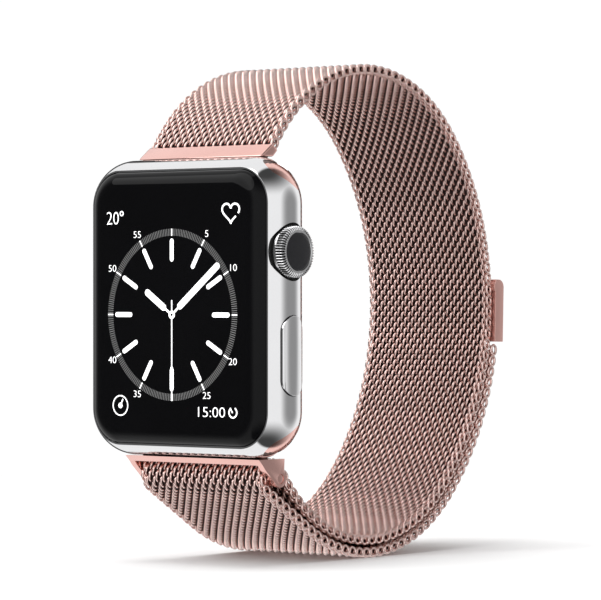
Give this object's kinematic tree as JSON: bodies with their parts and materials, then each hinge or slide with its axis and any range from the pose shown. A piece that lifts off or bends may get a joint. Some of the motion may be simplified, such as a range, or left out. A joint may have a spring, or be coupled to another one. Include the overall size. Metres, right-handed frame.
{
  "type": "smartwatch",
  "caption": "Rectangular steel smartwatch with a turning, pressing crown, side button and a woven metal loop band that folds through its lug and closes with a magnetic clasp.",
  "frame": {"origin": "centre of the flat seat on the back crystal", "axes": "+Z towards 12 o'clock, +Y out of the back towards the wrist (the display faces -Y), +X towards the crown side"},
  "size_m": [0.0375, 0.064, 0.073],
  "materials": {
    "polished_steel": "mirror polished stainless steel",
    "cover_glass": "polished domed glass",
    "display": "black display with a white analogue dial",
    "black_rubber": "matt seal rubber",
    "flex_film": "amber flexible circuit film",
    "battery_wrap": "dark foil pouch",
    "circuit_board": "green solder mask",
    "inner_steel": "satin stamped steel",
    "copper_coil": "enamelled copper winding",
    "sensor_lens": "dark optical window",
    "back_crystal": "glossy dark crystal",
    "back_ceramic": "satin dark ceramic",
    "bush_brass": "turned brass",
    "black_plastic": "moulded black plastic",
    "crown_cap_black": "glossy black disc",
    "rose_gold_polished": "rose-gold coated steel, satin polished",
    "rose_gold_mesh": "rose-gold coated steel wire, woven",
    "magnet_nickel": "nickel-plated magnet"
  },
  "bodies": {
    "case": {"mid_case": "polished_steel", "cover_glass": "cover_glass", "display_gasket": "black_rubber", "display_panel": "display", "display_flex": "flex_film", "battery": "battery_wrap", "logic_board": "circuit_board", "haptic_motor": "inner_steel", "speaker": "inner_steel", "microphone": "inner_steel", "charging_coil": "copper_coil", "sensor_board": "circuit_board", "sensor_lenses": "sensor_lens", "back_crystal": "back_crystal", "back_cover": "back_ceramic", "back_gasket": "black_rubber", "crown_bush": "bush_brass", "crown_bracket": "inner_steel", "crown_switch": "black_plastic", "crown_encoder": "black_plastic", "button_bracket": "inner_steel", "button_switch": "black_plastic", "bracket_screws": "inner_steel"},
    "crown_slider": {"crown_plunger": "inner_steel"},
    "crown": {"crown_knob": "polished_steel", "crown_cap": "crown_cap_black", "crown_stem": "inner_steel", "crown_o_ring": "black_rubber"},
    "side_key": {"side_button": "polished_steel", "side_button_stems": "inner_steel"},
    "upper_release": {"upper_release_button": "polished_steel"},
    "lower_release": {"lower_release_button": "polished_steel"},
    "band": {"upper_lug": "rose_gold_polished", "upper_clamp": "rose_gold_polished", "upper_bumpers": "black_rubber", "lower_lug": "rose_gold_polished", "lower_frame": "rose_gold_polished", "crossbar": "rose_gold_polished", "lower_bumpers": "black_rubber", "strap_mesh": "rose_gold_mesh"},
    "upper_lug_catch": {"upper_catch": "rose_gold_polished"},
    "lower_lug_catch": {"lower_catch": "rose_gold_polished"},
    "tail": {"tail_mesh": "rose_gold_mesh"},
    "clasp": {"clasp_housing": "rose_gold_polished", "clasp_magnets": "magnet_nickel", "clasp_plate": "rose_gold_polished"}
  },
  "joints": [
    {"name": "crown_press", "type": "slide", "parent": "case", "child": "crown_slider", "axis": [-1, 0, 0], "range_m": [0, 0.0003], "stiffness_N_per_m": 800, "springref_m": -0.001},
    {"name": "crown_turn", "type": "hinge", "parent": "crown_slider", "child": "crown", "pos_m": [0.0184, -0.0052, 0.0079], "axis": [1, 0, 0], "continuous": true},
    {"name": "side_button_press", "type": "slide", "parent": "case", "child": "side_key", "axis": [-1, 0, 0], "range_m": [0, 0.0003], "stiffness_N_per_m": 800, "springref_m": -0.001},
    {"name": "upper_release_press", "type": "slide", "parent": "case", "child": "upper_release", "axis": [0, -1, 0], "range_m": [0, 0.0005], "stiffness_N_per_m": 800, "springref_m": -0.0005},
    {"name": "lower_release_press", "type": "slide", "parent": "case", "child": "lower_release", "axis": [0, -1, 0], "range_m": [0, 0.0005], "stiffness_N_per_m": 800, "springref_m": -0.0005},
    {"name": "band_slide", "type": "slide", "parent": "case", "child": "band", "axis": [1, 0, 0], "range_m": [0, 0.04]},
    {"name": "upper_catch_press", "type": "slide", "parent": "band", "child": "upper_lug_catch", "axis": [0, -1, 0], "range_m": [0, 0.0005]},
    {"name": "lower_catch_press", "type": "slide", "parent": "band", "child": "lower_lug_catch", "axis": [0, -1, 0], "range_m": [0, 0.0005]},
    {"name": "tail_peel", "type": "hinge", "parent": "band", "child": "tail", "pos_m": [0, -0.0015, -0.0244], "axis": [-1, 0, 0], "range_deg": [0, 50]},
    {"name": "clasp_peel", "type": "hinge", "parent": "tail", "child": "clasp", "pos_m": [0, 0.05329, -0.0054], "axis": [-1, 0, 0], "range_deg": [0, 25]}
  ],
  "couplings": [
    {"joint": "upper_catch_press", "follows": "upper_release_press", "ratio": 1},
    {"joint": "lower_catch_press", "follows": "lower_release_press", "ratio": 1}
  ]
}
